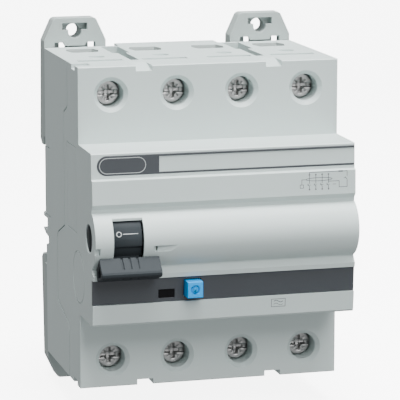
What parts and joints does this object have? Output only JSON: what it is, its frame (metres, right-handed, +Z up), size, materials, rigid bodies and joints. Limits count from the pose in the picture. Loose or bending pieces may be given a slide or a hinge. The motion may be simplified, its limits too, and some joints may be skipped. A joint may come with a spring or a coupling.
{
  "type": "residual current device",
  "caption": "Modular residual current device for a DIN rail, with a toggle, test button, screw terminals and sliding rail clips.",
  "frame": {"origin": "centre of the rail seat: on the seat plane at the back, midway between the side faces, at the rail's centre height", "axes": "+Z up towards the line terminals, front faces -Y, +Y goes back into the rail, +X to the right seen from the front"},
  "size_m": [0.0712, 0.0733, 0.1026],
  "materials": {
    "light_plastic": "fine moulded texture, light grey",
    "clip_plastic": "fine moulded texture, light grey",
    "dark_plastic": "satin, dark blue grey",
    "grip_plastic": "satin, dark grey",
    "spring_steel": "drawn wire",
    "blue_plastic": "smooth, sky blue",
    "black_plastic": "satin black",
    "smoked_plastic": "polished, smoked black",
    "plated_steel": "zinc plated",
    "cage_steel": "passivated",
    "copper": "tinned or bare copper",
    "core_metal": "wound nanocrystalline strip",
    "cream_plastic": "satin",
    "board": "circuit board",
    "resistor_body": "lacquered"
  },
  "bodies": {
    "housing": {"base_housing": "light_plastic", "front_cover": "light_plastic", "front_band": "dark_plastic", "label_frame": "dark_plastic", "toggle_spring": "spring_steel", "test_button_spring": "spring_steel", "test_contact_blade": "copper", "test_resistor": "resistor_body", "flag_window": "smoked_plastic", "toroid_core": "core_metal", "toroid_winding": "copper", "line_contact_1": "copper", "line_contact_2": "copper", "line_contact_3": "copper", "line_contact_4": "copper", "load_conductor_1": "copper", "load_conductor_2": "copper", "load_conductor_3": "copper", "load_conductor_4": "copper", "contact_braids": "copper", "mechanism_frame": "plated_steel", "trip_pivot_pin": "spring_steel", "relay_housing": "black_plastic", "relay_coil": "copper", "relay_board": "board", "opening_spring": "spring_steel", "arc_plates": "plated_steel", "housing_rivets": "plated_steel"},
    "toggle": {"toggle_handle": "grip_plastic"},
    "link": {"drive_link": "spring_steel"},
    "contact_shaft": {"contact_carrier": "black_plastic", "moving_contact_1": "copper", "moving_contact_2": "copper", "moving_contact_3": "copper", "moving_contact_4": "copper"},
    "trip_lever": {"trip_lever": "cream_plastic"},
    "relay_plunger": {"relay_plunger": "plated_steel"},
    "fault_flag": {"fault_flag": "black_plastic"},
    "test_button": {"test_button": "blue_plastic"},
    "line_screw_1": {"line_screw_1": "plated_steel"},
    "line_cage_1": {"line_cage_1": "cage_steel"},
    "load_screw_1": {"load_screw_1": "plated_steel"},
    "load_cage_1": {"load_cage_1": "cage_steel"},
    "line_screw_2": {"line_screw_2": "plated_steel"},
    "line_cage_2": {"line_cage_2": "cage_steel"},
    "load_screw_2": {"load_screw_2": "plated_steel"},
    "load_cage_2": {"load_cage_2": "cage_steel"},
    "line_screw_3": {"line_screw_3": "plated_steel"},
    "line_cage_3": {"line_cage_3": "cage_steel"},
    "load_screw_3": {"load_screw_3": "plated_steel"},
    "load_cage_3": {"load_cage_3": "cage_steel"},
    "line_screw_4": {"line_screw_4": "plated_steel"},
    "line_cage_4": {"line_cage_4": "cage_steel"},
    "load_screw_4": {"load_screw_4": "plated_steel"},
    "load_cage_4": {"load_cage_4": "cage_steel"},
    "rail_clip_top_left": {"rail_clip_top_left": "clip_plastic"},
    "rail_clip_top_right": {"rail_clip_top_right": "clip_plastic"},
    "rail_clip_bottom_left": {"rail_clip_bottom_left": "clip_plastic"},
    "rail_clip_bottom_right": {"rail_clip_bottom_right": "clip_plastic"}
  },
  "joints": [
    {"name": "toggle_hinge", "type": "hinge", "parent": "housing", "child": "toggle", "pos_m": [-0.0267, -0.0558, 0], "axis": [-1, 0, 0], "range_deg": [0, 80], "deforming": ["toggle_spring"]},
    {"name": "link_pivot", "type": "hinge", "parent": "toggle", "child": "link", "pos_m": [-0.0235, -0.05683, 0.00282], "axis": [-1, 0, 0], "range_deg": [-84, 0.5]},
    {"name": "contact_shaft_hinge", "type": "hinge", "parent": "housing", "child": "contact_shaft", "pos_m": [0, -0.03, -0.0055], "axis": [-1, 0, 0], "range_deg": [0, 24.5], "deforming": ["opening_spring", "contact_braids"]},
    {"name": "test_button_slide", "type": "slide", "parent": "housing", "child": "test_button", "axis": [0, 1, 0], "range_m": [0, 0.0016], "stiffness_N_per_m": 300, "springref_m": -0.0015, "deforming": ["test_button_spring"]},
    {"name": "trip_lever_hinge", "type": "hinge", "parent": "housing", "child": "trip_lever", "pos_m": [-0.009, -0.038, -0.002], "axis": [-1, 0, 0], "range_deg": [0, 8]},
    {"name": "relay_plunger_slide", "type": "slide", "parent": "housing", "child": "relay_plunger", "axis": [0, 1, 0], "range_m": [0, 0.00145]},
    {"name": "fault_flag_slide", "type": "slide", "parent": "housing", "child": "fault_flag", "axis": [0, 0, 1], "range_m": [0, 0.0022]},
    {"name": "line_screw_1_turn", "type": "hinge", "parent": "housing", "child": "line_screw_1", "pos_m": [-0.0267, -0.036, 0.03565], "axis": [0, 1, 0], "range_deg": [0, 2700]},
    {"name": "line_cage_1_slide", "type": "slide", "parent": "housing", "child": "line_cage_1", "axis": [0, -1, 0], "range_m": [0, 0.006]},
    {"name": "load_screw_1_turn", "type": "hinge", "parent": "housing", "child": "load_screw_1", "pos_m": [-0.0267, -0.036, -0.03565], "axis": [0, 1, 0], "range_deg": [0, 2700]},
    {"name": "load_cage_1_slide", "type": "slide", "parent": "housing", "child": "load_cage_1", "axis": [0, -1, 0], "range_m": [0, 0.006]},
    {"name": "line_screw_2_turn", "type": "hinge", "parent": "housing", "child": "line_screw_2", "pos_m": [-0.0089, -0.036, 0.03565], "axis": [0, 1, 0], "range_deg": [0, 2700]},
    {"name": "line_cage_2_slide", "type": "slide", "parent": "housing", "child": "line_cage_2", "axis": [0, -1, 0], "range_m": [0, 0.006]},
    {"name": "load_screw_2_turn", "type": "hinge", "parent": "housing", "child": "load_screw_2", "pos_m": [-0.0089, -0.036, -0.03565], "axis": [0, 1, 0], "range_deg": [0, 2700]},
    {"name": "load_cage_2_slide", "type": "slide", "parent": "housing", "child": "load_cage_2", "axis": [0, -1, 0], "range_m": [0, 0.006]},
    {"name": "line_screw_3_turn", "type": "hinge", "parent": "housing", "child": "line_screw_3", "pos_m": [0.0089, -0.036, 0.03565], "axis": [0, 1, 0], "range_deg": [0, 2700]},
    {"name": "line_cage_3_slide", "type": "slide", "parent": "housing", "child": "line_cage_3", "axis": [0, -1, 0], "range_m": [0, 0.006]},
    {"name": "load_screw_3_turn", "type": "hinge", "parent": "housing", "child": "load_screw_3", "pos_m": [0.0089, -0.036, -0.03565], "axis": [0, 1, 0], "range_deg": [0, 2700]},
    {"name": "load_cage_3_slide", "type": "slide", "parent": "housing", "child": "load_cage_3", "axis": [0, -1, 0], "range_m": [0, 0.006]},
    {"name": "line_screw_4_turn", "type": "hinge", "parent": "housing", "child": "line_screw_4", "pos_m": [0.0267, -0.036, 0.03565], "axis": [0, 1, 0], "range_deg": [0, 2700]},
    {"name": "line_cage_4_slide", "type": "slide", "parent": "housing", "child": "line_cage_4", "axis": [0, -1, 0], "range_m": [0, 0.006]},
    {"name": "load_screw_4_turn", "type": "hinge", "parent": "housing", "child": "load_screw_4", "pos_m": [0.0267, -0.036, -0.03565], "axis": [0, 1, 0], "range_deg": [0, 2700]},
    {"name": "load_cage_4_slide", "type": "slide", "parent": "housing", "child": "load_cage_4", "axis": [0, -1, 0], "range_m": [0, 0.006]},
    {"name": "rail_clip_top_left_slide", "type": "slide", "parent": "housing", "child": "rail_clip_top_left", "axis": [0, 0, 1], "range_m": [0, 0.0045]},
    {"name": "rail_clip_top_right_slide", "type": "slide", "parent": "housing", "child": "rail_clip_top_right", "axis": [0, 0, 1], "range_m": [0, 0.0045]},
    {"name": "rail_clip_bottom_left_slide", "type": "slide", "parent": "housing", "child": "rail_clip_bottom_left", "axis": [0, 0, -1], "range_m": [0, 0.0045]},
    {"name": "rail_clip_bottom_right_slide", "type": "slide", "parent": "housing", "child": "rail_clip_bottom_right", "axis": [0, 0, -1], "range_m": [0, 0.0045]}
  ],
  "couplings": [
    {"joint": "link_pivot", "follows": "toggle_hinge", "ratio": -1.0375},
    {"joint": "contact_shaft_hinge", "follows": "toggle_hinge", "ratio": 0.3},
    {"joint": "trip_lever_hinge", "follows": "relay_plunger_slide", "rad_per_m": 96.294},
    {"joint": "fault_flag_slide", "follows": "relay_plunger_slide", "ratio": 1.4483},
    {"joint": "line_screw_1_turn", "follows": "line_cage_1_slide", "rad_per_m": 7854},
    {"joint": "load_screw_1_turn", "follows": "load_cage_1_slide", "rad_per_m": 7854},
    {"joint": "line_screw_2_turn", "follows": "line_cage_2_slide", "rad_per_m": 7854},
    {"joint": "load_screw_2_turn", "follows": "load_cage_2_slide", "rad_per_m": 7854},
    {"joint": "line_screw_3_turn", "follows": "line_cage_3_slide", "rad_per_m": 7854},
    {"joint": "load_screw_3_turn", "follows": "load_cage_3_slide", "rad_per_m": 7854},
    {"joint": "line_screw_4_turn", "follows": "line_cage_4_slide", "rad_per_m": 7854},
    {"joint": "load_screw_4_turn", "follows": "load_cage_4_slide", "rad_per_m": 7854}
  ]
}
